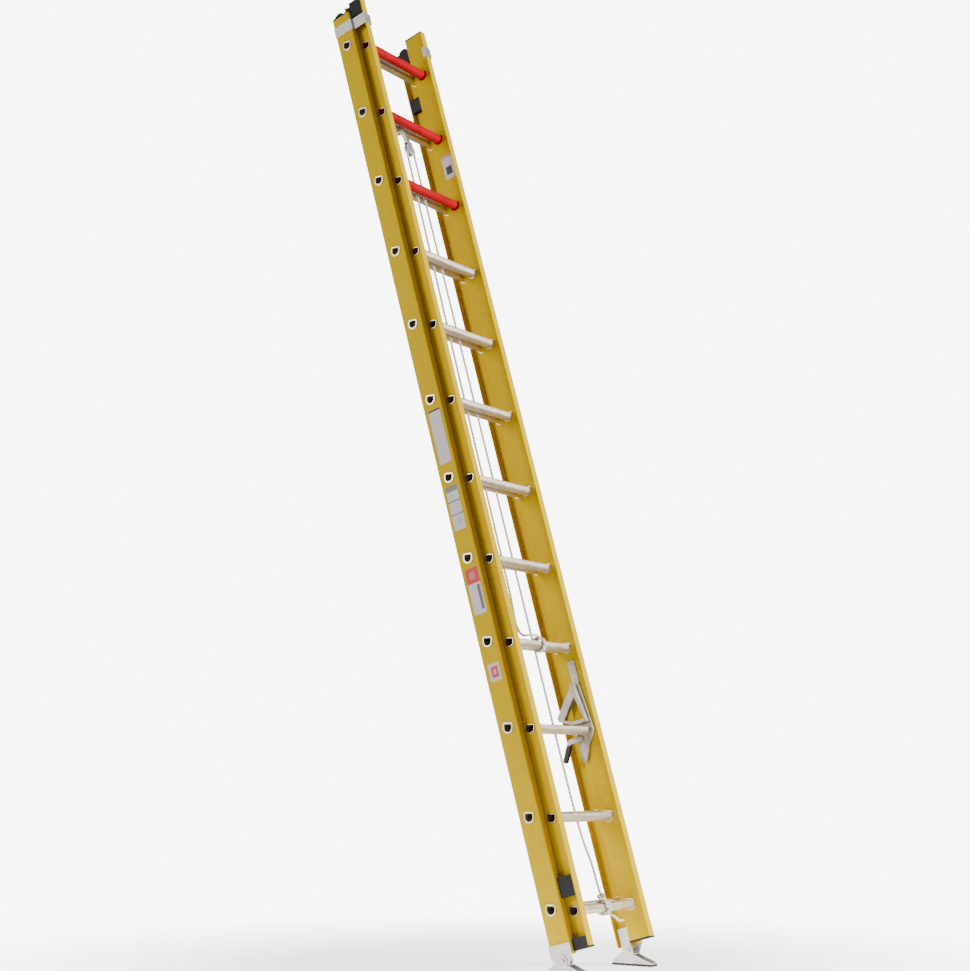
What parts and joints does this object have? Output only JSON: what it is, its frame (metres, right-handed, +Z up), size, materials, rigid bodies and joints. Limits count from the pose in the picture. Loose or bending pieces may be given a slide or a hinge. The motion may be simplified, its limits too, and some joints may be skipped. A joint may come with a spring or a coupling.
{
  "type": "extension ladder",
  "caption": "Extension ladder with orange-yellow fibreglass channel rails, D-shaped aluminium rungs, red top rungs, rung locks, hoist rope with pulley, and swivel shoes.",
  "frame": {"origin": "floor level, under the centre of the ladder's bounding box as it leans", "axes": "+Z up; X across the ladder, +X to its right as the climber faces it; the climber stands on the -Y side and the top leans towards +Y at 15 degrees from vertical"},
  "size_m": [0.4732, 1.0796, 3.6425],
  "materials": {
    "fibreglass": "pultruded fibreglass, satin",
    "aluminium": "mill-finish extrusion, fine grain",
    "red_coating": "satin red powder coat",
    "cast_metal": "cast, blasted",
    "zinc": "zinc-plated sheet",
    "black_plastic": "moulded, fine texture",
    "rubber": "ribbed, matt",
    "rope": "twisted cord",
    "sheave_grey": "moulded nylon"
  },
  "bodies": {
    "base_section": {"base_rail_left": "fibreglass", "base_rail_right": "fibreglass", "base_rung_1": "aluminium", "base_rung_2": "aluminium", "base_rung_3": "aluminium", "base_rung_4": "aluminium", "base_rung_5": "aluminium", "base_rung_6": "aluminium", "base_rung_7": "aluminium", "base_rung_8": "aluminium", "base_rung_9": "aluminium", "base_rung_10": "aluminium", "base_rung_11": "aluminium", "base_rung_12": "aluminium", "base_top_cap_left": "black_plastic", "base_top_cap_right": "black_plastic", "base_guide_block_left": "black_plastic", "base_guide_block_right": "black_plastic", "guide_bracket_left": "aluminium", "guide_bracket_right": "aluminium", "foot_bracket_left": "zinc", "foot_bracket_right": "zinc", "shoe_bolt_left": "zinc", "shoe_bolt_right": "zinc", "pulley_hanger": "zinc", "pulley_axle": "zinc", "halyard": "rope", "fall_hitch": "rope"},
    "fly_section": {"fly_rail_left": "fibreglass", "fly_rail_right": "fibreglass", "fly_rung_1": "aluminium", "fly_rung_2": "aluminium", "fly_rung_3": "aluminium", "fly_rung_4": "aluminium", "fly_rung_5": "aluminium", "fly_rung_6": "aluminium", "fly_rung_7": "aluminium", "fly_rung_8": "aluminium", "fly_rung_9": "aluminium", "fly_rung_10": "red_coating", "fly_rung_11": "red_coating", "fly_rung_12": "red_coating", "fly_top_cap_left": "black_plastic", "fly_top_cap_right": "black_plastic", "fly_bottom_cap_left": "black_plastic", "fly_bottom_cap_right": "black_plastic", "fly_guide_block_left": "black_plastic", "fly_guide_block_right": "black_plastic", "lock_frame_left": "cast_metal", "lock_frame_right": "cast_metal", "hoist_knot": "rope"},
    "shoe_left_body": {"shoe_left": "zinc", "shoe_pad_left": "rubber"},
    "latch_left_body": {"lock_latch_left": "cast_metal"},
    "finger_left_body": {"lock_finger_left": "black_plastic"},
    "shoe_right_body": {"shoe_right": "zinc", "shoe_pad_right": "rubber"},
    "latch_right_body": {"lock_latch_right": "cast_metal"},
    "finger_right_body": {"lock_finger_right": "black_plastic"},
    "sheave_body": {"pulley_sheave": "sheave_grey"}
  },
  "joints": [
    {"name": "fly_slide", "type": "slide", "parent": "base_section", "child": "fly_section", "axis": [0, 0.2588, 0.9659], "range_m": [0, 2.7432]},
    {"name": "shoe_left", "type": "hinge", "parent": "base_section", "child": "shoe_left_body", "pos_m": [-0.2093, -0.44688, 0.05], "axis": [1, 0, 0], "range_deg": [-20, 60]},
    {"name": "latch_left", "type": "hinge", "parent": "fly_section", "child": "latch_left_body", "pos_m": [-0.161, -0.26619, 0.95228], "axis": [1, 0, 0], "range_deg": [-35, 0]},
    {"name": "finger_left", "type": "hinge", "parent": "fly_section", "child": "finger_left_body", "pos_m": [-0.161, -0.29483, 0.76428], "axis": [1, 0, 0], "range_deg": [-95, 12], "stiffness_Nm_per_rad": 0.06, "springref_deg": 11.46},
    {"name": "shoe_right", "type": "hinge", "parent": "base_section", "child": "shoe_right_body", "pos_m": [0.2093, -0.44688, 0.05], "axis": [1, 0, 0], "range_deg": [-20, 60]},
    {"name": "latch_right", "type": "hinge", "parent": "fly_section", "child": "latch_right_body", "pos_m": [0.161, -0.26619, 0.95228], "axis": [1, 0, 0], "range_deg": [-35, 0]},
    {"name": "finger_right", "type": "hinge", "parent": "fly_section", "child": "finger_right_body", "pos_m": [0.161, -0.29483, 0.76428], "axis": [1, 0, 0], "range_deg": [-95, 12], "stiffness_Nm_per_rad": 0.06, "springref_deg": 11.46},
    {"name": "sheave_spin", "type": "hinge", "parent": "base_section", "child": "sheave_body", "pos_m": [-0.005, 0.32448, 3.04853], "axis": [0, 0.9659, -0.2588], "continuous": true}
  ]
}
